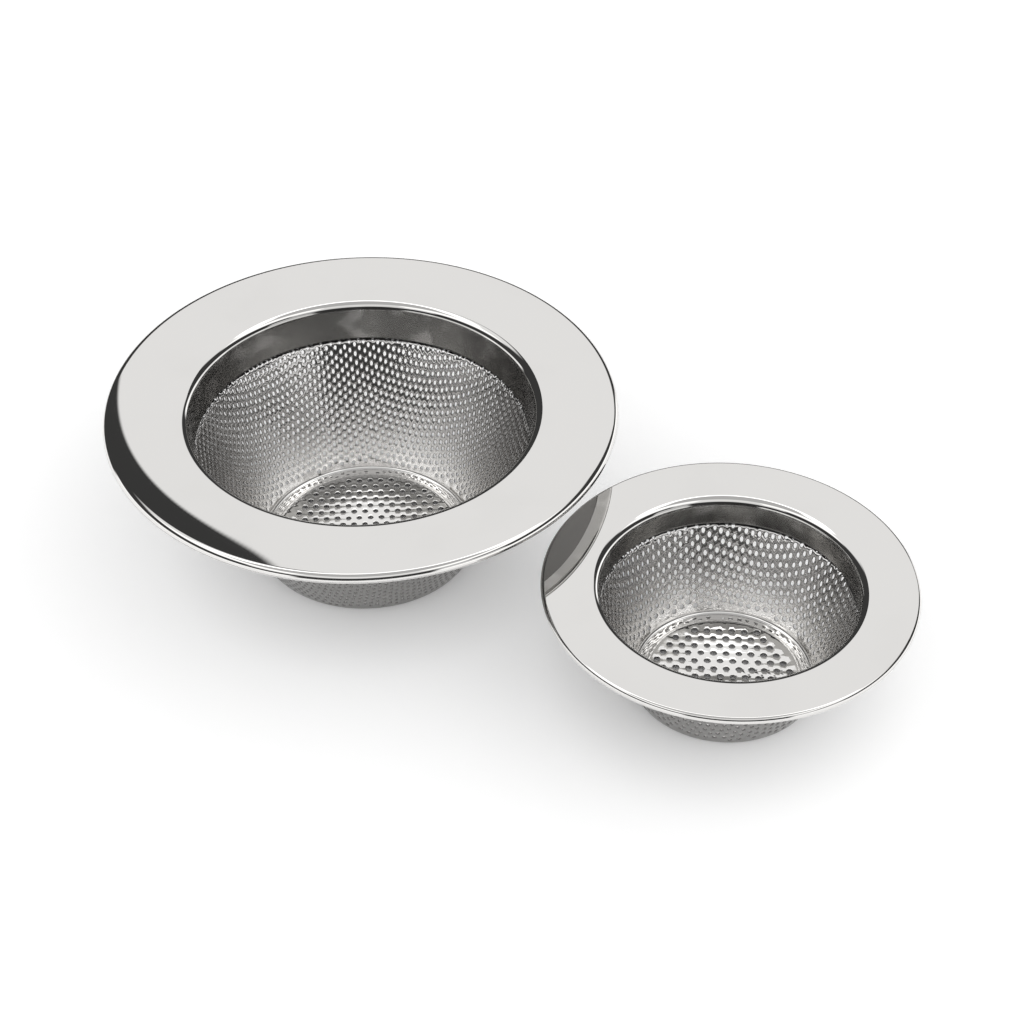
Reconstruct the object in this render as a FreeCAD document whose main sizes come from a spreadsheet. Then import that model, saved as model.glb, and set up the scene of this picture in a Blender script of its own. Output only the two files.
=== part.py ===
import FreeCAD, Part
import math
import os

import Sketcher

# A set of two sink strainers, a large and a small one. Each is a polished stamped rim whose collar is
# crimped round the out-turned lip of a perforated basket. Millimetres, +Z up. The origin is the centre
# of the large strainer's base, and the small strainer stands in front of it to the right.

Vector = FreeCAD.Vector
UP = Vector(0, 0, 1)
ORIGIN = Vector(0, 0, 0)
ON_AXIS = "0"

# Sheet metal, its bends and joints, and how the set stands
COMMON_SIZES = {
    "rim_sheet": 0.6,
    "basket_sheet": 0.5,
    "hem_height": 2.3,
    "hem_reach": 2.8,
    "hem_radius": 1.0,
    "lip_radius": 2.0,
    "seam_radius": 0.9,
    "crimp_radius": 0.1,
    "crimp_return": 1.2,
    "crimp_clearance": 0.15,
    "basket_lip_reach": 2.4,
    "base_corner_radius": 1.5,
    "hole_margin": 0.3,
    "set_spacing": 90.0,
    "set_bearing": 30.0,
}

# Each strainer's own sizes: the throat, seam and base are measured inside, the rim outside
STRAINER_SIZES = {
    "large": {
        "rim_diameter": 112.0,
        "rim_height": 39.0,
        "rim_drop": 1.2,
        "throat_diameter": 75.6,
        "seam_diameter": 73.4,
        "seam_height": 28.4,
        "base_diameter": 47.6,
        "hole_diameter": 1.4,
        "hole_pitch": 2.5,
        "hole_bearing": 3.0,
    },
    "small": {
        "rim_diameter": 78.6,
        "rim_height": 27.4,
        "rim_drop": 0.8,
        "throat_diameter": 53.9,
        "seam_diameter": 53.6,
        "seam_height": 19.7,
        "base_diameter": 38.7,
        "hole_diameter": 1.6,
        "hole_pitch": 2.7,
        "hole_bearing": -3.0,
    },
}

# Where each strainer's axis stands on the worktop
STANDS = {
    "large": ("0", "0"),
    "small": (
        "sizes.set_spacing * cos(sizes.set_bearing * 1deg)",
        "-sizes.set_spacing * sin(sizes.set_bearing * 1deg)",
    ),
}


def make_size_sheet(doc):
    """Spreadsheet with one aliased cell for each driving size."""
    sizes = dict(COMMON_SIZES)
    for strainer, own_sizes in STRAINER_SIZES.items():
        for name, value in own_sizes.items():
            sizes[f"{strainer}_{name}"] = value
    sheet = doc.addObject("Spreadsheet::Sheet", "sizes")
    for row, (name, value) in enumerate(sizes.items(), start=1):
        sheet.set(f"A{row}", name)
        sheet.set(f"B{row}", str(value))
        sheet.setAlias(f"B{row}", name)
    doc.recompute()
    return sheet


def round_corner(before, corner, after, radius):
    """Arc that rounds a corner, its two tangent points, and whether the path turns left there."""
    incoming = (corner - before).normalize()
    outgoing = (after - corner).normalize()
    turn = incoming.x * outgoing.y - incoming.y * outgoing.x
    setback = radius * math.tan(incoming.getAngle(outgoing) / 2)
    start = corner - incoming * setback
    end = corner + outgoing * setback
    left = Vector(-incoming.y, incoming.x, 0)
    centre = start + left * math.copysign(radius, turn)
    first, last = (start, end) if turn > 0 else (end, start)
    angles = [math.atan2(point.y - centre.y, point.x - centre.x) for point in (first, last)]
    arc = Part.ArcOfCircle(Part.Circle(centre, UP, radius), *angles)
    return arc, start, end, turn > 0


def draw_bent_line(doc, sheet, name, corners, radii):
    """Open sketch in the XZ plane of a bent sheet's face: straight runs, with an arc at each inner corner.

    corners and radii are expressions on the sizes. A construction point holds each corner, the two runs
    beside it lie through that point, and the bend is tangent to them.
    """
    sketch = doc.addObject("Sketcher::SketchObject", name)
    sketch.Placement = FreeCAD.Placement(ORIGIN, FreeCAD.Rotation(Vector(1, 0, 0), 90))
    points = [Vector(sheet.evalExpression(x), sheet.evalExpression(z), 0) for x, z in corners]
    bends = [
        round_corner(points[i], points[i + 1], points[i + 2], sheet.evalExpression(radius))
        for i, radius in enumerate(radii)
    ]
    starts = [points[0]] + [end for arc, start, end, left in bends]
    ends = [start for arc, start, end, left in bends] + [points[-1]]
    runs = [sketch.addGeometry(Part.LineSegment(a, b)) for a, b in zip(starts, ends)]
    arcs = [sketch.addGeometry(arc) for arc, start, end, left in bends]
    marks = [sketch.addGeometry(Part.Point(point), True) for point in points]

    def constrain(kind, *where):
        return sketch.addConstraint(Sketcher.Constraint(kind, *where))

    def bind(expression, kind, *where):
        sketch.setExpression(f"Constraints[{constrain(kind, *where)}]", expression)

    for mark, point, (x, z) in zip(marks, points, corners):
        if x == ON_AXIS:
            constrain("PointOnObject", mark, 1, -2)
        else:
            bind(x, "DistanceX", -1, 1, mark, 1, point.x)
        bind(z, "DistanceY", -1, 1, mark, 1, point.y)
    constrain("Coincident", runs[0], 1, marks[0], 1)
    constrain("Coincident", runs[-1], 2, marks[-1], 1)
    for i, (arc, start, end, left) in enumerate(bends):
        entry, leaving = (1, 2) if left else (2, 1)
        constrain("PointOnObject", marks[i + 1], 1, runs[i])
        constrain("PointOnObject", marks[i + 1], 1, runs[i + 1])
        constrain("Tangent", runs[i], 2, arcs[i], entry)
        constrain("Tangent", arcs[i], leaving, runs[i + 1], 1)
        bind(radii[i], "Radius", arcs[i], arc.Radius)
    return sketch


def spin_sheet(doc, name, line, thickness):
    """Solid of a bent sheet: its line thickened to one side and turned about the Z axis."""
    section = doc.addObject("Part::Offset2D", f"{name}_section")
    section.Source = line
    section.Mode = "Skin"
    section.Fill = True
    section.setExpression("Value", thickness)
    solid = doc.addObject("Part::Revolution", name)
    solid.Source = section
    solid.Base = ORIGIN
    solid.Axis = UP
    solid.Angle = 360
    solid.Solid = True
    return solid


def make_rim(doc, sheet, strainer):
    """Stamped rim: hem under the edge, dished flange, lip, collar, and the crimp that holds the basket."""
    edge = f"sizes.{strainer}_rim_diameter / 2"
    top = f"sizes.{strainer}_rim_height"
    throat = f"sizes.{strainer}_throat_diameter / 2"
    seam = f"sizes.{strainer}_seam_diameter / 2"
    seam_height = f"sizes.{strainer}_seam_height"
    crimp = f"{seam} + sizes.basket_lip_reach + sizes.crimp_clearance"
    corners_and_radii = [
        (edge, f"{top} - sizes.hem_height", "sizes.hem_radius"),
        (edge, top, "sizes.hem_radius"),
        (throat, f"{top} - sizes.{strainer}_rim_drop", "sizes.lip_radius"),
        (seam, seam_height, "sizes.seam_radius"),
        (crimp, seam_height, "sizes.crimp_radius"),
        (crimp, f"{seam_height} - sizes.basket_sheet", "sizes.crimp_radius"),
    ]
    hem_end = (f"{edge} - sizes.hem_reach", f"{top} - sizes.hem_height")
    crimp_end = (f"{crimp} - sizes.crimp_return", f"{seam_height} - sizes.basket_sheet")
    corners = [hem_end] + [(x, z) for x, z, radius in corners_and_radii] + [crimp_end]
    radii = [radius for x, z, radius in corners_and_radii]
    line = draw_bent_line(doc, sheet, f"{strainer}_rim_line", corners, radii)
    return spin_sheet(doc, f"{strainer}_rim", line, "sizes.rim_sheet")


def make_cup(doc, sheet, strainer):
    """Basket before its holes: flat base, conical wall and out-turned lip."""
    seam = f"sizes.{strainer}_seam_diameter / 2"
    seam_height = f"sizes.{strainer}_seam_height"
    corners = [
        (ON_AXIS, "sizes.basket_sheet"),
        (f"sizes.{strainer}_base_diameter / 2", "sizes.basket_sheet"),
        (seam, seam_height),
        (f"{seam} + sizes.basket_lip_reach", seam_height),
    ]
    radii = ["sizes.base_corner_radius", "sizes.seam_radius"]
    line = draw_bent_line(doc, sheet, f"{strainer}_cup_line", corners, radii)
    return spin_sheet(doc, f"{strainer}_cup", line, "-sizes.basket_sheet")


def make_hole(centre, along, through, half_along, half_across):
    """One hole from the inner face through the sheet: its wall, and its outlines on the two faces."""
    across = along.cross(through).normalize()
    if half_along > half_across:
        oval = Part.Ellipse(centre + along * half_along, centre + across * half_across, centre)
    else:
        oval = Part.Circle(centre, through, half_across)
    wall = oval.toShape().extrude(through)
    rims = [edge for edge in wall.Edges if edge.isClosed()]
    rims.sort(key=lambda edge: edge.CenterOfMass.distanceToPoint(centre))
    return wall, Part.Wire(rims[0]), Part.Wire(rims[1])


def lay_out_holes(sheet, strainer):
    """The holes of a basket's base and those of its wall.

    On the flat blank they are a 60-degree pattern, with the axis midway between two rows and two holes.
    Drawing the blank into a cup keeps its area. So a hole at radius q of the blank comes to radius r of
    the wall, where r^2 = wall_r^2 + sin(lean) (q^2 - wall_q^2). It is stretched by q / r along the slope
    and drawn in as much around it. No hole lies in a bend.
    """

    def size(name):
        return float(getattr(sheet, name))

    thickness = size("basket_sheet")
    margin = size("hole_margin")
    base_r = size(f"{strainer}_base_diameter") / 2
    seam_r = size(f"{strainer}_seam_diameter") / 2
    hole_r = size(f"{strainer}_hole_diameter") / 2
    pitch = size(f"{strainer}_hole_pitch")
    wall = Vector(seam_r - base_r, 0, size(f"{strainer}_seam_height") - thickness)
    sin_lean, cos_lean = wall.x / wall.Length, wall.z / wall.Length
    bend = math.acos(sin_lean)
    bend_radius = size("base_corner_radius")
    corner = bend_radius * math.tan(bend / 2)
    wall_end = wall.Length - size("seam_radius") * math.tan(bend / 2)
    flat_r = base_r - corner
    wall_r = base_r + corner * sin_lean
    wall_q2 = flat_r**2 + 2 * bend_radius * (flat_r * bend + bend_radius * (1 - sin_lean))
    base_holes, wall_holes = [], []
    reach = math.ceil(2 * (base_r + wall.Length) / pitch)
    for row in range(-reach, reach):
        for column in range(-reach, reach):
            x = pitch * (column + 0.5 * (row % 2) + 0.25)
            y = pitch * (row + 0.5) * math.sqrt(0.75)
            q = math.hypot(x, y)
            outward = Vector(x / q, y / q, 0)
            if q + hole_r + margin < flat_r:
                centre = outward * q + UP * thickness
                base_holes.append(make_hole(centre, outward, UP * -thickness, hole_r, hole_r))
                continue
            r = math.sqrt(max(wall_r**2 + sin_lean * (q * q - wall_q2), 0))
            climb = (r - base_r) / sin_lean
            stretch = q / max(r, wall_r)
            if corner < climb - hole_r * stretch - margin and climb + hole_r * stretch + margin < wall_end:
                centre = outward * r + UP * (thickness + climb * cos_lean)
                along = outward * sin_lean + UP * cos_lean
                through = (outward * cos_lean - UP * sin_lean) * thickness
                wall_holes.append(make_hole(centre, along, through, hole_r * stretch, hole_r / stretch))
    print(f"{strainer}_basket has {len(base_holes)} holes in its base and {len(wall_holes)} in its wall")
    return base_holes, wall_holes


def pierce(face, outlines):
    """The face without what these outlines enclose."""

    def without(some):
        pierced = face.copy()
        pierced.cutHoles(some)
        repair = Part.ShapeFix.Face(pierced)
        repair.FixOrientationMode = 0
        repair.FixIntersectingWiresMode = 0
        repair.perform()
        return repair.face()

    if without(outlines[:1]).Area > face.Area:
        outlines = [outline.reversed() for outline in outlines]
    return without(outlines)


def perforate(cup, base_holes, wall_holes):
    """The cup's solid with its holes: pierced faces, and a wall round each hole from face to face."""
    faces = list(cup.Faces)
    for holes in (base_holes, wall_holes):
        for side in (1, 2):
            outlines = [hole[side] for hole in holes]
            distances = [face.distToShape(outlines[0])[0] for face in cup.Faces]
            carrier = distances.index(min(distances))
            faces[carrier] = pierce(cup.Faces[carrier], outlines)
    faces += [hole[0] for hole in base_holes + wall_holes]
    return Part.makeSolid(Part.makeShell(faces))


def make_basket(doc, sheet, strainer):
    """Perforated basket: the drawn cup with its holes, turned so that its rows lie at their bearing."""
    cup = make_cup(doc, sheet, strainer)
    doc.recompute()
    basket = doc.addObject("Part::Feature", f"{strainer}_basket")
    basket.Shape = perforate(cup.Shape, *lay_out_holes(sheet, strainer))
    basket.setExpression("Placement.Rotation.Angle", f"sizes.{strainer}_hole_bearing * 1deg")
    return basket


def stand(piece, strainer):
    """Put a piece where its strainer's axis stands in the set."""
    for axis, place in zip("xy", STANDS[strainer]):
        piece.setExpression(f"Placement.Base.{axis}", place)


def check(doc, pieces):
    """Stop if an object failed, or if a piece is not one valid solid."""
    for item in doc.Objects:
        if "Invalid" in item.State or "Error" in item.State:
            raise RuntimeError(f"{item.Label} failed: {item.State}")
    for piece in pieces:
        shape = piece.Shape
        if shape.isNull() or not shape.isValid() or len(shape.Solids) != 1:
            raise RuntimeError(f"{piece.Label} is not one valid solid")
        print(f"{piece.Label}: {shape.Volume:.1f} mm3, {shape.BoundBox}")


def main():
    doc = FreeCAD.newDocument("sink_strainers")
    sheet = make_size_sheet(doc)
    pieces = []
    for strainer in STRAINER_SIZES:
        for make_piece in (make_rim, make_basket):
            piece = make_piece(doc, sheet, strainer)
            stand(piece, strainer)
            pieces.append(piece)
    doc.recompute()
    check(doc, pieces)
    os.makedirs("parts", exist_ok=True)
    for piece in pieces:
        piece.Shape.exportStep(f"parts/{piece.Label}.step")


main()
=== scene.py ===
"""Looks of a set of two sink strainers, a large and a small one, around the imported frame.

Each strainer is a mirror-polished stamped rim that is crimped onto a basket drawn from one perforated
sheet. Shapes are worked out in millimetres about each strainer's own axis, and placed in metres.
"""

import logging
import math
from dataclasses import dataclass, field
from enum import Enum
from typing import Any

import bpy
import numpy as np
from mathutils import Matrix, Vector
from mathutils.geometry import delaunay_2d_cdt

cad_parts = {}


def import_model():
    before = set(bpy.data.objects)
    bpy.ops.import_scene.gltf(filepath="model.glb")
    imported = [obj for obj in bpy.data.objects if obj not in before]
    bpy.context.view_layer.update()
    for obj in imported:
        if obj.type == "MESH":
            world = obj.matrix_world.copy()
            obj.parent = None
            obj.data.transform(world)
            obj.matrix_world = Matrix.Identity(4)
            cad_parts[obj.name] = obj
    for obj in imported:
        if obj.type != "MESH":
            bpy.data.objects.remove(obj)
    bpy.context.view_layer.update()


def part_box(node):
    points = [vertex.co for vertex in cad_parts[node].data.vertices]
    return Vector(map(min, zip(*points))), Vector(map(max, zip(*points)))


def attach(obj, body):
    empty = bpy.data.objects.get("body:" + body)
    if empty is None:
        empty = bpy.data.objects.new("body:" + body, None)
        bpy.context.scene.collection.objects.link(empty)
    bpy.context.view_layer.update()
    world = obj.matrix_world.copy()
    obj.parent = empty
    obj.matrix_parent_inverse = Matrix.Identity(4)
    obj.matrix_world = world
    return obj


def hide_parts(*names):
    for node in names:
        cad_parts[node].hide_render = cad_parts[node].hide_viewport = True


MM = 0.001
FULL_TURN = 2 * math.pi
# Height of a row of holes that stand 60 degrees apart, in pitches.
ROW_HEIGHT = math.sqrt(0.75)
WHITE = (1.0, 1.0, 1.0)
LOG = logging.getLogger("sink_strainers")
Array = np.ndarray
Colour = tuple[float, float, float]


class Slot(Enum):
    """The record's material slots."""

    RIM = "polished_rim"
    BASKET = "perforated_basket"


class Mark(Enum):
    """Attributes of the pieces' vertices that their finishes read."""

    UNDERSIDE = "underside"
    DULLNESS_AND_SHADE = "dullness_and_shade"


def unit(vectors: Array) -> Array:
    """The vectors, one to a row, each divided by its length."""
    return vectors / np.linalg.norm(vectors, axis=-1, keepdims=True)


def ring(count: int) -> Array:
    """Points evenly round the unit circle, one (x, y) pair to a row."""
    angle = np.arange(count) * (FULL_TURN / count)
    return np.stack([np.cos(angle), np.sin(angle)], axis=-1)


def bend_arcs(
    before: Array, corners: Array, after: Array, radii: Array, steps: int
) -> tuple[Array, Array]:
    """Points on the arcs that round a row of corners, and the normals to the right of the path there.

    An arc starts where a circle of its radius touches the run into the corner and ends where it touches
    the run out of it. Its point at a share s of the turn is the centre plus the radius times the first
    run's right-hand normal turned by s times the turn. The radius counts negative on a right turn.

    Args:
        before: The point that each corner is reached from, one (radius, height) pair to a row.
        corners: The corners.
        after: The point that each corner is left for.
        radii: The bend radius at each corner.
        steps: How many chords each arc has.

    Returns:
        The points and the unit normals, one pair to a row, arc after arc.
    """
    incoming = unit(corners - before)
    outgoing = unit(after - corners)
    cross = incoming[:, 0] * outgoing[:, 1] - incoming[:, 1] * outgoing[:, 0]
    turn = np.arctan2(cross, (incoming * outgoing).sum(axis=1))
    start = corners - incoming * (radii * np.tan(np.abs(turn) / 2))[:, None]
    right = np.stack([incoming[:, 1], -incoming[:, 0]], axis=1)
    reach = (np.sign(turn) * radii)[:, None]
    centre = start - right * reach
    angle = turn[:, None] * np.linspace(0, 1, steps + 1)
    across, along = right[:, :1], right[:, 1:]
    cosine, sine = np.cos(angle), np.sin(angle)
    normals = np.stack([across * cosine - along * sine, across * sine + along * cosine], axis=-1)
    points = centre[:, None] + normals * reach[:, None]
    return points.reshape(-1, 2), normals.reshape(-1, 2)


def strips(loops: Array) -> Array:
    """Quads between neighbouring closed loops of vertices.

    Args:
        loops: Vertex numbers, of shape (..., loops, vertices on a loop).

    Returns:
        One quad to a row: along a loop first, then over to the next loop.
    """
    here, beyond = loops[..., :-1, :], loops[..., 1:, :]
    quads = np.stack([here, np.roll(here, -1, axis=-1), np.roll(beyond, -1, axis=-1), beyond], axis=-1)
    return quads.reshape(-1, 4)


def make_piece(name: str, points: Array, faces: list[Array]) -> bpy.types.Object:
    """A smooth-shaded mesh object at the origin.

    Args:
        name: The piece's name.
        points: Vertices in metres, one to a row.
        faces: Groups of faces, each an array with one face's vertex numbers to a row.

    Returns:
        The new object, linked to the scene.
    """
    corners = np.concatenate([group.ravel() for group in faces]).astype(np.int32)
    counts = np.concatenate([np.full(len(group), group.shape[1]) for group in faces])
    mesh = bpy.data.meshes.new(name)
    mesh.vertices.add(len(points))
    mesh.vertices.foreach_set("co", points.astype(np.float32).ravel())
    mesh.loops.add(len(corners))
    mesh.loops.foreach_set("vertex_index", corners)
    mesh.polygons.add(len(counts))
    mesh.polygons.foreach_set("loop_start", (np.cumsum(counts) - counts).astype(np.int32))
    mesh.polygons.foreach_set("use_smooth", np.ones(len(counts), dtype=bool))
    mesh.update(calc_edges=True)
    mesh.validate()
    piece = bpy.data.objects.new(name, mesh)
    bpy.context.scene.collection.objects.link(piece)
    return piece


def mark_points(piece: bpy.types.Object, mark: Mark, levels: Array) -> None:
    """Gives each vertex of a piece a level that its finish reads.

    Args:
        piece: The piece.
        mark: The attribute that holds the levels.
        levels: One level to a vertex, in the vertices' order.
    """
    attribute = piece.data.attributes.new(mark.value, "FLOAT", "POINT")
    attribute.data.foreach_set("value", levels.astype(np.float32).ravel())


class Value:
    """A number in a shader tree: arithmetic on it adds Math nodes."""

    def __init__(self, sheet: "ShaderSheet", socket: bpy.types.NodeSocket) -> None:
        """Wraps one output socket of the sheet's tree."""
        self.sheet = sheet
        self.socket = socket

    def _math(self, operation: str, *terms: Any) -> "Value":
        """The result of a Math node on the terms."""
        return self.sheet.value("ShaderNodeMath", {"operation": operation}, dict(enumerate(terms)))

    def __add__(self, other: Any) -> "Value":
        """This number plus another."""
        return self._math("ADD", self, other)

    __radd__ = __add__

    def __mul__(self, other: Any) -> "Value":
        """This number times another."""
        return self._math("MULTIPLY", self, other)

    __rmul__ = __mul__

    def __sub__(self, other: Any) -> "Value":
        """This number less another."""
        return self._math("SUBTRACT", self, other)

    def __rsub__(self, other: Any) -> "Value":
        """Another number less this one."""
        return self._math("SUBTRACT", other, self)

    def __pow__(self, power: Any) -> "Value":
        """This number to a power."""
        return self._math("POWER", self, power)

    def __abs__(self) -> "Value":
        """This number without its sign."""
        return self._math("ABSOLUTE", self)

    def greatest(self, other: Any) -> "Value":
        """The greater of this number and another."""
        return self._math("MAXIMUM", self, other)

    def least(self, other: Any) -> "Value":
        """The lesser of this number and another."""
        return self._math("MINIMUM", self, other)

    def bearing(self, other: Any) -> "Value":
        """The angle of the point with this number as its height and the other as its breadth."""
        return self._math("ARCTAN2", self, other)

    def rise(self) -> "Value":
        """The elevation of a unit vector with this number as its height."""
        return self._math("ARCSINE", self)

    def ease(self, low: float, high: float) -> "Value":
        """0 up to low, 1 from high on, and a smooth rise between them."""
        settings = {"interpolation_type": "SMOOTHSTEP"}
        limits = {"Value": self, "From Min": low, "From Max": high}
        return self.sheet.value("ShaderNodeMapRange", settings, limits)


class ShaderSheet:
    """The node tree of one material or of the world."""

    def __init__(self, tree: bpy.types.NodeTree) -> None:
        """Takes over a tree and empties it."""
        self.tree = tree
        self.tree.nodes.clear()

    def node(self, kind: str, settings: dict[str, Any], inputs: dict[Any, Any]) -> bpy.types.Node:
        """Adds a node.

        Args:
            kind: The node's type.
            settings: Attributes that are set before the sockets.
            inputs: Plain values, colours, nodes' sockets or Value objects by socket name or number.

        Returns:
            The new node.
        """
        node = self.tree.nodes.new(kind)
        for name, setting in settings.items():
            setattr(node, name, setting)
        for name, given in inputs.items():
            source = given.socket if isinstance(given, Value) else given
            target = node.inputs[name]
            if isinstance(source, bpy.types.NodeSocket):
                self.tree.links.new(source, target)
            elif target.type == "RGBA":
                target.default_value = (*source, 1.0)
            else:
                target.default_value = source
        return node

    def value(
        self, kind: str, settings: dict[str, Any], inputs: dict[Any, Any], output: int | str = 0
    ) -> Value:
        """One output of a new node as a number."""
        return Value(self, self.node(kind, settings, inputs).outputs[output])

    def ray(self, kind: str) -> Value:
        """1 where the light's path is a ray of the kind, such as Camera, and 0 elsewhere."""
        return self.value("ShaderNodeLightPath", {}, {}, f"Is {kind} Ray")

    def mark(self, mark: Mark) -> Value:
        """The level that a piece's vertices were given."""
        return self.value("ShaderNodeAttribute", {"attribute_name": mark.value}, {}, "Fac")

    def split(self, vector: Any) -> tuple[Value, Value, Value]:
        """The three parts of a vector."""
        parts = self.node("ShaderNodeSeparateXYZ", {}, {0: vector}).outputs
        return Value(self, parts[0]), Value(self, parts[1]), Value(self, parts[2])

    def join(self, x: Any, y: Any, z: Any) -> bpy.types.NodeSocket:
        """A vector from its three parts."""
        return self.node("ShaderNodeCombineXYZ", {}, {0: x, 1: y, 2: z}).outputs[0]

    def place(self, axis: Vector) -> bpy.types.NodeSocket:
        """The shaded point about an axis."""
        point = self.node("ShaderNodeTexCoord", {}, {}).outputs["Object"]
        return self.node("ShaderNodeMapping", {}, {"Vector": point, "Location": -axis}).outputs[0]

    def noise(self, vector: Any, scale: float, detail: float = 2.0) -> Value:
        """Noise of about 0 to 1 over a vector."""
        return self.value("ShaderNodeTexNoise", {}, {"Vector": vector, "Scale": scale, "Detail": detail})

    def blend(self, share: Value, first: Any, second: Any) -> bpy.types.NodeSocket:
        """A colour between two, by share."""
        settings = {"data_type": "RGBA"}
        return self.node("ShaderNodeMix", settings, {0: share, 6: first, 7: second}).outputs[2]

    def steel(self, colour: Any, roughness: Value, height: Value) -> None:
        """Ends a material's sheet with bare metal.

        Args:
            colour: The metal's colour.
            roughness: Its roughness.
            height: How high its surface stands, in metres, for the lean of its normals.
        """
        bump = self.node("ShaderNodeBump", {}, {"Distance": 1.0, "Height": height}).outputs[0]
        looks = {"Base Color": colour, "Metallic": 1.0, "Roughness": roughness, "Normal": bump}
        shader = self.node("ShaderNodeBsdfPrincipled", {}, looks)
        self.node("ShaderNodeOutputMaterial", {}, {"Surface": shader.outputs[0]})


def new_material(name: str) -> tuple[bpy.types.Material, ShaderSheet]:
    """An empty material and its shader sheet."""
    material = bpy.data.materials.new(name)
    material.use_nodes = True
    return material, ShaderSheet(material.node_tree)


@dataclass(frozen=True)
class Sheets:
    """Sheet gauges, bends and joints that both strainers share, in millimetres."""

    rim: float = 0.6
    basket: float = 0.5
    hem_reach: float = 2.8
    hem_under_radius: float = 0.65
    lip_radius: float = 2.0
    seam_radius: float = 0.9
    crimp_radius: float = 0.1
    crimp_return: float = 1.2
    crimp_clearance: float = 0.15
    basket_lip_reach: float = 2.4
    base_corner_radius: float = 1.0
    base_ring: float = 2.2
    base_rise: float = 0.8
    base_step_radius: float = 0.8
    hole_margin: float = 0.3
    cut_edge_radius: float = 0.1


@dataclass(frozen=True)
class HolePattern:
    """Round holes in rows 60 degrees apart: millimetres on the flat blank, and the rows' bearing."""

    diameter: float
    pitch: float
    bearing_deg: float
    scatter: float
    edge_roll_deg: float
    seed: int = 7

    def centres(self, reach: float) -> Array:
        """Centres of the holes, with the axis midway between two rows.

        Row r stands at r + 1/2 row heights, and its hole c at c + 1/4 pitches, plus half a pitch in every
        other row. The rows are then turned by their bearing, and each hole strays from its place by the
        scatter at most, each way.

        Args:
            reach: How far from the axis the rows go at least.

        Returns:
            One (x, y) pair to a row.
        """
        count = math.ceil(reach / (self.pitch * ROW_HEIGHT)) + 1
        rows, columns = np.meshgrid(np.arange(-count, count), np.arange(-count, count), indexing="ij")
        x = self.pitch * (columns + 0.5 * (rows % 2) + 0.25)
        y = self.pitch * (rows + 0.5) * ROW_HEIGHT
        bearing = math.radians(self.bearing_deg)
        cosine, sine = math.cos(bearing), math.sin(bearing)
        turned = np.array([[cosine, sine], [-sine, cosine]])
        stray = np.random.default_rng(self.seed).uniform(-self.scatter, self.scatter, (x.size, 2))
        return np.column_stack([x.ravel(), y.ravel()]) @ turned + stray


@dataclass(frozen=True)
class StrainerSizes:
    """One strainer's own sizes in millimetres: throat, seam and base are measured inside."""

    rim_height: float
    rim_drop: float
    hem_height: float
    hem_radius: float
    throat_diameter: float
    seam_diameter: float
    seam_height: float
    base_diameter: float
    base_holes: HolePattern
    wall_holes: HolePattern


LARGE = StrainerSizes(
    rim_height=39.0,
    rim_drop=1.2,
    hem_height=2.1,
    hem_radius=1.4,
    throat_diameter=75.6,
    seam_diameter=73.4,
    seam_height=28.4,
    base_diameter=47.6,
    base_holes=HolePattern(diameter=1.4, pitch=2.5, bearing_deg=3.0, scatter=0.06, edge_roll_deg=3.0),
    wall_holes=HolePattern(diameter=0.95, pitch=1.68, bearing_deg=-18.0, scatter=0.12, edge_roll_deg=9.0),
)
SMALL = StrainerSizes(
    rim_height=27.4,
    rim_drop=0.8,
    hem_height=1.65,
    hem_radius=0.8,
    throat_diameter=53.9,
    seam_diameter=53.6,
    seam_height=19.7,
    base_diameter=38.7,
    base_holes=HolePattern(diameter=1.6, pitch=2.7, bearing_deg=-3.0, scatter=0.06, edge_roll_deg=3.0),
    wall_holes=HolePattern(diameter=1.15, pitch=2.0, bearing_deg=-18.0, scatter=0.14, edge_roll_deg=9.0),
)


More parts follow.
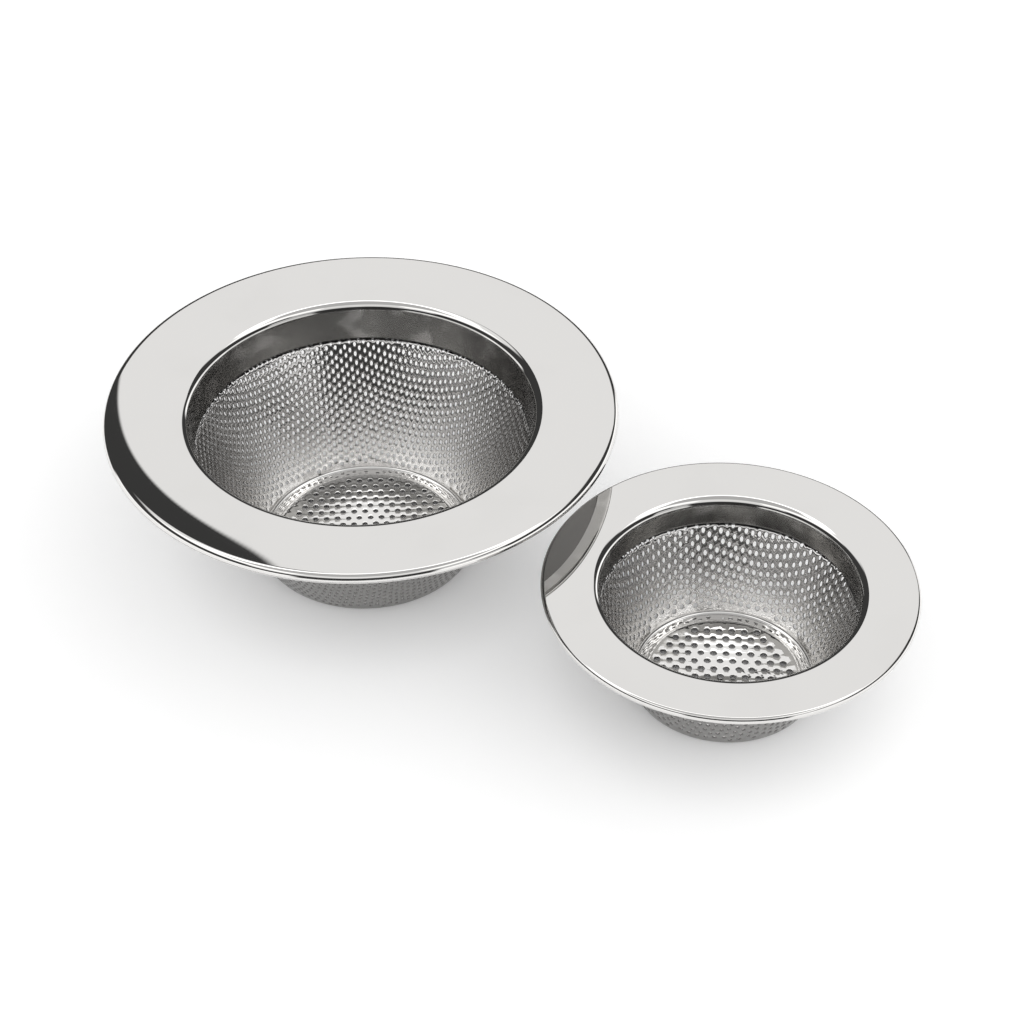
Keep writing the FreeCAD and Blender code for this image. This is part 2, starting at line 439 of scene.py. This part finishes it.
@dataclass(frozen=True)
class PolishedSteel:
    """Stainless sheet, mirror-polished on top, with painted shade on a cloudy collar, along the seam and
    on a duller underside.

    Smudges and clouds start and are full at levels of their noise. The collar, with its roughness and
    painted shade, starts and is full at shares of the lip's bend radius below the lip, and the painted
    shade along the seam fades at a share of its width.
    """

    colour: Colour = (0.74, 0.73, 0.715)
    smudged_colour: Colour = (0.725, 0.715, 0.70)
    # Painted shade: the collar's colour is darkened to stand in for the dark reflections on it.
    collar_shade_colour: Colour = (0.30, 0.295, 0.285)
    # Painted shade in the crevice where the collar meets the basket.
    seam_shade_colour: Colour = (0.05, 0.05, 0.05)
    # Painted shade on the sheet's hidden face, which looks down at the shaded floor.
    underside_shade_colour: Colour = (0.22, 0.215, 0.21)
    roughness: float = 0.008
    smudge_roughness: float = 0.004
    collar_roughness: float = 0.14
    under_roughness: float = 0.25
    smudge_scale: float = 55.0
    smudge_detail: float = 4.0
    smudge_start: float = 0.45
    smudge_full: float = 0.75
    collar_start: float = 0.1
    collar_full: float = 0.8
    cloud_start: float = 0.5
    cloud_full: float = 0.7
    cloud_share: float = 0.5
    seam_line_mm: float = 0.7
    seam_fade: float = 0.2
    groove_fade: float = 0.1
    wave_scale: float = 42.0
    wave_detail: float = 1.0
    wave_height_m: float = 1.0e-6
    collar_wave_scale: float = 160.0
    collar_wave_height_m: float = 2.0e-5

    def make(self, name: str, axis: Vector, sizes: StrainerSizes, sheets: Sheets) -> bpy.types.Material:
        """The material for a rim that was drawn about an upright axis.

        Args:
            name: The material's name.
            axis: Where the axis stands, in metres.
            sizes: The strainer's sizes, for where the collar and the seam are.
            sheets: The shared sheet sizes.

        Returns:
            The material.
        """
        material, sheet = new_material(name)
        place = sheet.place(axis)
        x, y, z = sheet.split(place)
        radius = (x**2 + y**2) ** 0.5
        lip = (sizes.rim_height - sizes.rim_drop) * MM
        roll = sheets.lip_radius * MM
        collar = 1 - z.ease(lip - self.collar_full * roll, lip - self.collar_start * roll)
        # Painted shade: a dark line in the crevice just above the seam, inside the crimp, stands in for
        # the shadow there.
        line = self.seam_line_mm * MM
        line_top = sizes.seam_height * MM + line
        low_down = 1 - z.ease(line_top - self.seam_fade * line, line_top + self.seam_fade * line)
        groove_edge = sizes.seam_diameter / 2 * MM + roll
        groove_shade = low_down * (1 - radius.ease(groove_edge, groove_edge + self.groove_fade * roll))
        mottle = sheet.noise(place, self.smudge_scale, self.smudge_detail)
        smudge = mottle.ease(self.smudge_start, self.smudge_full)
        wave = sheet.noise(place, self.wave_scale, self.wave_detail) * self.wave_height_m
        cloud = sheet.noise(place, self.collar_wave_scale, self.wave_detail)
        pale = cloud.ease(self.cloud_start, self.cloud_full) * self.cloud_share
        under = sheet.mark(Mark.UNDERSIDE)
        polished = sheet.blend(smudge, self.colour, self.smudged_colour)
        # Painted shade on the collar, broken by paler clouds; the collar's extra roughness is its real
        # finish.
        drawn = sheet.blend(collar * (1 - pale), polished, self.collar_shade_colour)
        # Painted shade along the seam's crevice.
        groove_shaded = sheet.blend(groove_shade, drawn, self.seam_shade_colour)
        # Painted shade on the hidden face; its extra roughness is a real duller finish.
        colour = sheet.blend(under, groove_shaded, self.underside_shade_colour)
        dulled = (collar * self.collar_roughness).greatest(under * self.under_roughness)
        rough = self.roughness + smudge * self.smudge_roughness + dulled
        sheet.steel(colour, rough, wave + cloud * collar * self.collar_wave_height_m)
        return material


@dataclass(frozen=True)
class DrawnSteel:
    """Bright perforated sheet drawn into a cup: streaks up the wall, a soft grain, and painted shade on
    its duller outside and hole bores.

    The base's look ends at the base height and the wall's starts at the wall height. The foot of the wall
    is paler with a painted highlight and darkens up to the foot height.
    """

    colour: Colour = (0.74, 0.73, 0.715)
    # Painted highlight: the foot of the wall is paler, for the bright reflection it shows.
    foot_highlight_colour: Colour = (0.93, 0.92, 0.905)
    wall_colour: Colour = (0.60, 0.59, 0.58)
    # Painted shade for the outside face and the holes' bores; the roughness there is a real duller
    # finish.
    dull_shade_colour: Colour = (0.26, 0.255, 0.25)
    roughness: float = 0.03
    wall_roughness: float = 0.02
    grain_roughness: float = 0.02
    dull_roughness: float = 0.15
    base_height_mm: float = 1.0
    wall_height_mm: float = 2.0
    foot_height_mm: float = 13.0
    dish_slope: float = 0.122
    dish_middle_mm: float = 3.0
    grain_scale: float = 900.0
    grain_detail: float = 3.0
    streaks_per_turn: float = 260.0
    streaks_per_metre: float = 60.0
    dent_scale: float = 160.0
    dent_height_m: float = 1.0e-5

    def make(self, name: str, axis: Vector, sizes: StrainerSizes, sheets: Sheets) -> bpy.types.Material:
        """The material for a basket that was drawn about an upright axis.

        The base's normals lean towards its middle by one slope all round, as a shallow dish's do. The
        slope eases off at the middle, and ends at the plain ring.

        Args:
            name: The material's name.
            axis: Where the axis stands, in metres.
            sizes: The strainer's sizes, for where the base ends.
            sheets: The shared sheet sizes.

        Returns:
            The material.
        """
        material, sheet = new_material(name)
        place = sheet.place(axis)
        x, y, z = sheet.split(place)
        turn = y.bearing(x) * (self.streaks_per_turn / FULL_TURN)
        streak = sheet.noise(sheet.join(turn, z * self.streaks_per_metre, 0.0), 1.0)
        grain = sheet.noise(place, self.grain_scale, self.grain_detail)
        # The outside face and the holes' bores get painted shade and a duller finish.
        dull_and_shaded = sheet.mark(Mark.DULLNESS_AND_SHADE)
        wall = z.ease(self.base_height_mm * MM, self.wall_height_mm * MM)
        climb = z.ease(self.base_height_mm * MM, self.foot_height_mm * MM)
        # Painted highlight: paler at the foot of the wall, darkening up to the foot height.
        foot_highlight_to_wall = sheet.blend(climb, self.foot_highlight_colour, self.wall_colour)
        drawn = sheet.blend(wall, self.colour, foot_highlight_to_wall)
        colour = sheet.blend(dull_and_shaded, drawn, self.dull_shade_colour)
        worn = wall * (self.wall_roughness + (streak + grain) * self.grain_roughness)
        rough = worn + dull_and_shaded * self.dull_roughness + self.roughness
        dent = sheet.noise(place, self.dent_scale) * self.dent_height_m
        edge = (sizes.base_diameter / 2 - sheets.base_ring) * MM
        middle = self.dish_middle_mm * MM
        dish = ((x**2 + y**2).least(edge**2) + middle**2) ** 0.5 * self.dish_slope
        sheet.steel(colour, rough, dent + dish)
        return material


@dataclass
class Rim:
    """Stamped rim: hem under the edge, dished flange, lip, collar, and the crimp round the basket."""

    sizes: StrainerSizes
    edge_radius: float
    sheets: Sheets = field(default_factory=Sheets)
    segments: int = 288
    arc_steps: int = 8

    def visible_line(self) -> tuple[Array, Array]:
        """Corners of the sheet's visible face from the hem's cut edge to the crimp's, and their bends.

        Returns:
            The (radius, height) corners, and the bend radius at each, with a deburred edge at both ends.
        """
        sheets, sizes = self.sheets, self.sizes
        top = sizes.rim_height
        under = top - sizes.hem_height
        seam = sizes.seam_diameter / 2
        crimp = seam + sheets.basket_lip_reach + sheets.crimp_clearance
        tuck = sizes.seam_height - sheets.basket
        corners = [
            (self.edge_radius - sheets.hem_reach, under, sheets.cut_edge_radius),
            (self.edge_radius, under, sheets.hem_under_radius),
            (self.edge_radius, top, sizes.hem_radius),
            (sizes.throat_diameter / 2, top - sizes.rim_drop, sheets.lip_radius),
            (seam, sizes.seam_height, sheets.seam_radius),
            (crimp, sizes.seam_height, sheets.crimp_radius),
            (crimp, tuck, sheets.crimp_radius),
            (crimp - sheets.crimp_return, tuck, sheets.cut_edge_radius),
        ]
        table = np.array(corners)
        return table[:, :2], table[:, 2]

    def section(self) -> tuple[Array, Array]:
        """Closed outline of the rim's sheet in the (radius, height) plane.

        The hidden face lies one sheet's thickness to the left of the visible one: a corner moves by the
        sum of its two runs' left normals, divided by one plus their product. A left bend is tighter
        there by the thickness, and a right bend wider.

        Returns:
            The outline's points and outward normals.
        """
        corners, radii = self.visible_line()
        runs = unit(np.diff(corners, axis=0))
        lefts = np.stack([-runs[:, 1], runs[:, 0]], axis=1)
        into, out_of = lefts[:-1], lefts[1:]
        shift = (into + out_of) / (1 + (into * out_of).sum(axis=1, keepdims=True))
        shifts = np.concatenate([lefts[:1], shift, lefts[-1:]])
        turns = np.sign(into[:, 0] * out_of[:, 1] - into[:, 1] * out_of[:, 0])
        hidden_radii = radii.copy()
        hidden_radii[1:-1] -= turns * self.sheets.rim
        outline = np.concatenate([corners, (corners + shifts * self.sheets.rim)[::-1]])
        bends = np.concatenate([radii, hidden_radii[::-1]])
        before, after = np.roll(outline, 1, axis=0), np.roll(outline, -1, axis=0)
        return bend_arcs(before, outline, after, bends, self.arc_steps)

    def build(self, name: str, axis: Vector) -> bpy.types.Object:
        """The rim's mesh: the section carried round the axis, with the section's own normals.

        Args:
            name: The piece's name.
            axis: Where the axis stands, in metres.

        Returns:
            The rim, marked with 1 on the sheet's hidden face and 0 on the visible one.
        """
        points, normals = self.section()
        spokes = np.column_stack([ring(self.segments), np.zeros(self.segments)])
        upright = np.array([0.0, 0.0, 1.0])
        vertices = points[:, None, :1] * spokes + points[:, None, 1:] * upright
        directions = normals[:, None, :1] * spokes + normals[:, None, 1:] * upright
        numbers = np.arange(len(points) * self.segments).reshape(len(points), self.segments)
        loops = np.concatenate([numbers, numbers[:1]])
        piece = make_piece(name, vertices.reshape(-1, 3) * MM + np.array(axis), [strips(loops)])
        piece.data.normals_split_custom_set_from_vertices(directions.reshape(-1, 3))
        mark_points(piece, Mark.UNDERSIDE, numbers >= numbers.size // 2)
        return piece


@dataclass
class Basket:
    """Cup drawn from one perforated sheet: flat base, conical wall, and a lip that sits in the crimp."""

    sizes: StrainerSizes
    sheets: Sheets = field(default_factory=Sheets)
    ring_columns: int = 160
    base_rings: int = 18
    seam_rings: int = 7
    line_samples: int = 6000
    arc_steps: int = 48
    hole_sides: int = 10
    mouth_flare: float = 0.06
    waist_pinch: float = 0.06
    size_spread: float = 0.12
    weld: float = 1e-7
    # Share of painted shade and duller finish on the outside face; the holes' waists get the full level.
    outside_dullness_and_shade: float = 0.85

    def __post_init__(self) -> None:
        """Works out the drawn sheet's inner line and the blank radius that each of its points came from.

        The base is pushed up a little within a plain ring that it stands on. Drawing keeps the sheet's
        area. So half the square of the blank radius is the integral of the cup's radius along the line.
        """
        sheets, sizes = self.sheets, self.sizes
        seam = sizes.seam_diameter / 2
        ring_edge = sizes.base_diameter / 2 - sheets.base_ring
        raised = sheets.basket + sheets.base_rise
        corners = np.array(
            [
                (0.0, raised),
                (ring_edge - sheets.base_rise, raised),
                (ring_edge, sheets.basket),
                (sizes.base_diameter / 2, sheets.basket),
                (seam, sizes.seam_height),
                (seam + sheets.basket_lip_reach, sizes.seam_height),
            ]
        )
        step, corner = sheets.base_step_radius, sheets.base_corner_radius
        radii = np.array([step, step, corner, sheets.seam_radius])
        bends, bend_normals = bend_arcs(corners[:-2], corners[1:-1], corners[2:], radii, self.arc_steps)
        runs = unit(np.diff(corners, axis=0))
        ends = np.stack([runs[[0, -1], 1], -runs[[0, -1], 0]], axis=1)
        points = np.concatenate([corners[:1], bends, corners[-1:]])
        normals = np.concatenate([ends[:1], bend_normals, ends[1:]])
        length = np.concatenate([[0.0], np.cumsum(np.linalg.norm(np.diff(points, axis=0), axis=1))])
        self.along = np.linspace(0.0, length[-1], self.line_samples)
        self.radius = np.interp(self.along, length, points[:, 0])
        self.height = np.interp(self.along, length, points[:, 1])
        self.normal_r = np.interp(self.along, length, normals[:, 0])
        self.normal_z = np.interp(self.along, length, normals[:, 1])
        steps = np.diff(self.along) * (self.radius[1:] + self.radius[:-1])
        self.blank = np.sqrt(np.concatenate([[0.0], np.cumsum(steps)]))
        starts, stops = length[1:-1].reshape(len(radii), -1)[:, [0, -1]].T
        self.base_end, self.wall_start = starts[0], stops[-2]
        self.wall_end, self.lip_start = starts[-1], stops[-1]

    def draw(self, flat: Array, depth: float) -> tuple[Array, Array]:
        """Where points of the blank come to on the cup.

        The blank radius gives the place on the inner line, the bearing stays as it is, and the depth
        goes from the inner face outwards along the line's normal.

        Args:
            flat: Points of the blank, one (x, y) pair to a row.
            depth: Their depth below the inner face.

        Returns:
            The points in space about the strainer's axis, and the unit normals out of the cup there.
        """
        q = np.hypot(flat[:, 0], flat[:, 1])
        spokes = flat / q[:, None]
        normal_r = np.interp(q, self.blank, self.normal_r)
        normal_z = np.interp(q, self.blank, self.normal_z)
        radius = np.interp(q, self.blank, self.radius) + depth * normal_r
        height = np.interp(q, self.blank, self.height) + depth * normal_z
        points = np.column_stack([spokes * radius[:, None], height])
        return points, unit(np.column_stack([spokes * normal_r[:, None], normal_z]))

    def holes(self) -> tuple[Array, Array, Array]:
        """The holes on the blank.

        The base has its own pattern and the wall a finer one. No hole lies in the corner between them.
        At the top the wall's holes run on into the seam and stop short of the lip's cut edge. Drawing
        has closed the holes unevenly: each radius falls short of its pattern's by the spread at most.

        Returns:
            The holes' centres, their radii, and the slopes of their rolled edges.
        """
        base, wall = self.sizes.base_holes, self.sizes.wall_holes
        margin = self.sheets.hole_margin
        on_base = base.centres(self.blank[-1])
        climb = np.interp(np.hypot(*on_base.T), self.blank, self.along)
        on_base = on_base[climb + base.diameter / 2 + margin < self.base_end]
        on_wall = wall.centres(self.blank[-1])
        q = np.hypot(*on_wall.T)
        hole = wall.diameter / 2
        climb = np.interp(q, self.blank, self.along) - hole * q / np.interp(q, self.blank, self.radius)
        on_wall = on_wall[(climb - margin > self.wall_start) & (q + hole + margin < self.blank[-1])]
        counts = [len(on_base), len(on_wall)]
        uneven = np.random.default_rng(wall.seed).uniform(1 - self.size_spread, 1.0, sum(counts))
        radii = np.repeat([base.diameter / 2, hole], counts) * uneven
        slopes = np.repeat(np.tan(np.radians([base.edge_roll_deg, wall.edge_roll_deg])), counts)
        return np.concatenate([on_base, on_wall]), radii, slopes

    def bend_points(self, centres: Array, radii: Array) -> Array:
        """Points of the blank on rings between base and wall and round the seam, clear of the holes.

        Args:
            centres: The holes' centres on the blank.
            radii: The holes' radii.

        Returns:
            One (x, y) pair to a row.
        """
        first = np.linspace(self.base_end, self.wall_start, self.base_rings)
        second = np.linspace(self.wall_end, self.lip_start, self.seam_rings)
        q = np.interp(np.concatenate([first, second]), self.along, self.blank)
        rings = (q[:, None, None] * ring(self.ring_columns)).reshape(-1, 2)
        clear = (np.linalg.norm(rings[:, None] - centres, axis=-1) - radii).min(axis=1)
        return rings[clear > self.mouth_flare + self.sheets.hole_margin]

    def build(self, name: str, axis: Vector) -> bpy.types.Object:
        """The basket's mesh.

        The blank is triangulated round its holes, the bends' rings and its round edge. That makes the
        inner face, the outer face one thickness below it, and between them a wall for each hole, which
        narrows to a waist halfway, and one for the lip's cut edge. The normals at a hole's two mouths
        lean towards its middle, which rounds its edges over, and at the waist they point to its middle.

        Args:
            name: The piece's name.
            axis: Where the axis stands, in metres.

        Returns:
            The basket, marked with its level of duller finish and painted shade: 0 on the inner face, 1
            at the holes' waists.
        """
        thickness = self.sheets.basket
        centres, radii, slopes = self.holes()
        circle = ring(self.hole_sides)
        mouths = (centres[:, None] + (radii + self.mouth_flare)[:, None, None] * circle).reshape(-1, 2)
        waists = (centres[:, None] + (radii - self.waist_pinch)[:, None, None] * circle).reshape(-1, 2)
        edge = self.blank[-1] * ring(self.ring_columns)
        flat = np.concatenate([mouths, edge, self.bend_points(centres, radii)])
        mouth_loops = np.arange(len(mouths)).reshape(-1, self.hole_sides)
        edge_loop = len(mouths) + np.arange(self.ring_columns)
        triangles = self.triangulate(flat, mouth_loops, edge_loop)
        inner, outward = self.draw(flat, 0.0)
        outer, _ = self.draw(flat, thickness)
        waist, _ = self.draw(waists, thickness / 2)
        middle, _ = self.draw(np.repeat(centres, self.hole_sides, axis=0), thickness / 2)
        inward = unit(middle - waist)
        lean = np.zeros_like(inner)
        lean[: len(mouths)] = inward * np.repeat(slopes, self.hole_sides)[:, None]
        normals = np.concatenate([unit(lean - outward), unit(lean + outward), inward])
        vertices = np.concatenate([inner, outer, waist])
        waist_loops = mouth_loops + 2 * len(flat)
        walls = np.stack([mouth_loops, waist_loops, mouth_loops + len(flat)], axis=1)
        lip = np.stack([edge_loop + len(flat), edge_loop])
        faces = [triangles, triangles[:, ::-1] + len(flat), strips(walls), strips(lip)]
        piece = make_piece(name, vertices * MM + np.array(axis), faces)
        piece.data.normals_split_custom_set_from_vertices(normals)
        # Painted shade and a duller finish: none on the inner face, most on the outside, full at the
        # holes' waists.
        dullness_and_shade = np.repeat([0.0, self.outside_dullness_and_shade, 1.0], [len(flat), len(flat), len(waist)])
        mark_points(piece, Mark.DULLNESS_AND_SHADE, dullness_and_shade)
        LOG.info("%s has %d holes", name, len(centres))
        return piece

    def triangulate(self, flat: Array, mouths: Array, edge: Array) -> Array:
        """Triangles of the blank between its holes and its edge, counter-clockwise.

        Args:
            flat: All points of the blank.
            mouths: Numbers of the points round each hole, one hole to a row.
            edge: Numbers of the points round the blank.

        Returns:
            One triangle's point numbers to a row.
        """
        pairs = [np.stack([loop, np.roll(loop, -1, axis=-1)], axis=-1) for loop in (mouths, edge)]
        sides = np.concatenate([pair.reshape(-1, 2) for pair in pairs])
        kept = delaunay_2d_cdt(flat.tolist(), sides.tolist(), [], 0, self.weld, True)
        origin = np.array([numbers[0] for numbers in kept[3]])
        triangles = origin[np.array(kept[2])]
        owner = np.full(len(flat), -1)
        owner[mouths] = np.arange(len(mouths))[:, None]
        owners = owner[triangles]
        in_hole = (owners[:, 0] >= 0) & (owners == owners[:, :1]).all(axis=1)
        return triangles[~in_hole]


@dataclass
class Strainer:
    """One strainer: its rim and its basket, which ride on one body of the frame."""

    name: str
    sizes: StrainerSizes
    sheets: Sheets = field(default_factory=Sheets)
    rim_steel: PolishedSteel = field(default_factory=PolishedSteel)
    basket_steel: DrawnSteel = field(default_factory=DrawnSteel)

    def build(self) -> None:
        """Makes the two pieces where the frame has their nodes, and dresses them."""
        low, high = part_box(f"{self.name}_rim")
        axis = Vector(((low.x + high.x) / 2, (low.y + high.y) / 2, 0.0))
        edge_radius = (high.x - low.x) / 2 / MM
        rim = Rim(self.sizes, edge_radius, self.sheets).build(f"{self.name}_polished_rim", axis)
        basket = Basket(self.sizes, self.sheets).build(f"{self.name}_perforated_basket", axis)
        rim_steel = self.rim_steel.make(f"{self.name}_rim_steel", axis, self.sizes, self.sheets)
        basket_steel = self.basket_steel.make(f"{self.name}_basket_steel", axis, self.sizes, self.sheets)
        self.dress(rim, f"{self.name}_rim", rim_steel)
        self.dress(basket, f"{self.name}_basket", basket_steel)

    def dress(self, piece: bpy.types.Object, node: str, material: bpy.types.Material) -> None:
        """Puts a piece in the place of its node, on its strainer's body, with its finish.

        Args:
            piece: The new piece.
            node: The frame's node that it stands for.
            material: The finish.
        """
        piece.data.materials.append(material)
        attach(piece, f"{self.name}_strainer")
        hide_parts(node)
        mesh = piece.data
        LOG.info("%s: %d vertices, %d faces", piece.name, len(mesh.vertices), len(mesh.polygons))


@dataclass(frozen=True)
class SoftPanel:
    """A lit part of the surround, in degrees.

    Bearings run clockwise from straight behind the strainers, and heights from the horizon.
    """

    left: float
    right: float
    low: float
    high: float
    level: float
    side_edge: float = 6.0
    end_edge: float = 5.0
    lean: float = 0.0

    def shine(self, x: Value, y: Value, z: Value) -> Value:
        """The panel's light in a direction: its level, eased off across each edge.

        A panel that leans has its sides further right by the lean for each degree above its middle.

        Args:
            x: The direction's part to the right.
            y: Its part straight back.
            z: Its part upwards.

        Returns:
            The light.
        """
        middle = math.radians(self.left + self.right) / 2
        half = math.radians(self.right - self.left) / 2
        ahead = x * math.sin(middle) + y * math.cos(middle)
        aside = x * math.cos(middle) - y * math.sin(middle)
        side = math.radians(self.side_edge) / 2
        end = math.radians(self.end_edge) / 2
        climb = z.rise() - math.radians(self.low + self.high) / 2
        tall = math.radians(self.high - self.low) / 2
        across = 1 - abs(aside.bearing(ahead) - climb * self.lean).ease(half - side, half + side)
        upright = 1 - abs(climb).ease(tall - end, tall + end)
        return across * upright * self.level


@dataclass(frozen=True)
class Studio:
    """White floor under a soft sky, lit panels that the steel mirrors, and the camera."""

    camera_place: tuple[float, float, float] = (0.032782, -0.416469, 0.370805)
    camera_tilt_deg: float = 48.906
    camera_near: float = 0.01
    lens_mm: float = 86.0
    sensor_mm: float = 36.0
    floor_half: float = 4.0
    floor_colour: Colour = (0.90, 0.90, 0.90)
    floor_glow: float = 0.25
    floor_shade_reach: float = 0.02
    floor_shade_samples: int = 4
    sky_level: float = 1.7
    sky_right: float = 0.3
    sky_back: float = -0.5
    sky_climb: float = -1.05
    room_level: float = 0.05
    panels: tuple[SoftPanel, ...] = (
        # The backdrop, with a crisp left side that the large flange mirrors.
        SoftPanel(-6.38, 32.0, 30.0, 60.0, 1.0, side_edge=0.12, lean=-0.12),
        # A band all round, a brighter one behind, and a dim ceiling.
        SoftPanel(-200.0, 200.0, 46.0, 64.0, 1.0),
        SoftPanel(-70.0, 70.0, 57.0, 69.0, 2.2),
        SoftPanel(-200.0, 200.0, 60.0, 120.0, 0.55),
        # Boxes to the left, to the right and behind the camera.
        SoftPanel(-150.0, -60.0, 44.0, 62.0, 1.5),
        SoftPanel(65.0, 150.0, 44.0, 62.0, 1.5),
        SoftPanel(130.0, 230.0, 36.0, 60.0, 1.0),
        # Low light from the left and the right.
        SoftPanel(-155.0, -65.0, 0.0, 15.0, 1.4),
        SoftPanel(35.0, 150.0, 0.0, 15.0, 1.5),
        SoftPanel(118.0, 148.0, 10.0, 32.0, 0.8),
    )

    def build(self) -> None:
        """Sets up everything round the strainers."""
        bpy.context.scene.view_settings.view_transform = "Standard"
        self.build_camera()
        self.build_floor()
        self.build_surround()

    def build_camera(self) -> None:
        """Stands the camera where the photograph was taken from."""
        data = bpy.data.cameras.new("camera")
        data.lens = self.lens_mm
        data.sensor_width = self.sensor_mm
        data.clip_start = self.camera_near
        camera = bpy.data.objects.new("camera", data)
        camera.location = self.camera_place
        camera.rotation_euler = (math.radians(self.camera_tilt_deg), 0.0, 0.0)
        bpy.context.scene.collection.objects.link(camera)
        bpy.context.scene.camera = camera

    def build_floor(self) -> None:
        """Lays a large pale matt floor, lifted to white for camera and steel where it lies open."""
        signs = np.array([(-1.0, -1.0, 0.0), (1.0, -1.0, 0.0), (1.0, 1.0, 0.0), (-1.0, 1.0, 0.0)])
        floor = make_piece("floor", signs * self.floor_half, [np.array([[0, 1, 2, 3]])])
        material, sheet = new_material("floor_white")
        seen = (sheet.ray("Camera") + sheet.ray("Glossy")).greatest(sheet.ray("Transmission"))
        matt = sheet.node("ShaderNodeBsdfDiffuse", {}, {"Color": self.floor_colour})
        samples = {"samples": self.floor_shade_samples}
        shade = sheet.node("ShaderNodeAmbientOcclusion", samples, {"Distance": self.floor_shade_reach})
        lit = {"Color": shade.outputs["Color"], "Strength": seen * self.floor_glow}
        glow = sheet.node("ShaderNodeEmission", {}, lit)
        both = sheet.node("ShaderNodeAddShader", {}, {0: matt.outputs[0], 1: glow.outputs[0]})
        sheet.node("ShaderNodeOutputMaterial", {}, {"Surface": both.outputs[0]})
        floor.data.materials.append(material)

    def build_surround(self) -> None:
        """Makes the world: white to the camera, a soft sky to the floor, and lit panels to the steel.

        The sky is brightest low down, at the front and to the right: its level plus a share of each part
        of the direction.
        """
        world = bpy.data.worlds.new("surround")
        bpy.context.scene.world = world
        world.use_nodes = True
        world.cycles.sampling_method = "NONE"
        sheet = ShaderSheet(world.node_tree)
        x, y, z = sheet.split(sheet.node("ShaderNodeTexCoord", {}, {}).outputs["Generated"])
        camera = sheet.ray("Camera")
        mirrored = sheet.ray("Glossy").greatest(sheet.ray("Transmission"))
        first, *others = [panel.shine(x, y, z) for panel in self.panels]
        studio = first.greatest(self.room_level)
        for shine in others:
            studio = studio.greatest(shine)
        sky = x * self.sky_right + y * self.sky_back + z * self.sky_climb + self.sky_level
        level = camera + (1 - camera) * (mirrored * studio + (1 - mirrored) * sky)
        background = sheet.node("ShaderNodeBackground", {}, {"Color": WHITE, "Strength": level})
        sheet.node("ShaderNodeOutputWorld", {}, {"Surface": background.outputs[0]})


def main() -> None:
    """Builds the strainers round the frame, then the studio."""
    logging.basicConfig(level=logging.INFO, format="%(name)s: %(message)s")
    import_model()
    for strainer in (Strainer("large", LARGE), Strainer("small", SMALL)):
        strainer.build()
    Studio().build()


if __name__ == "__main__":
    main()
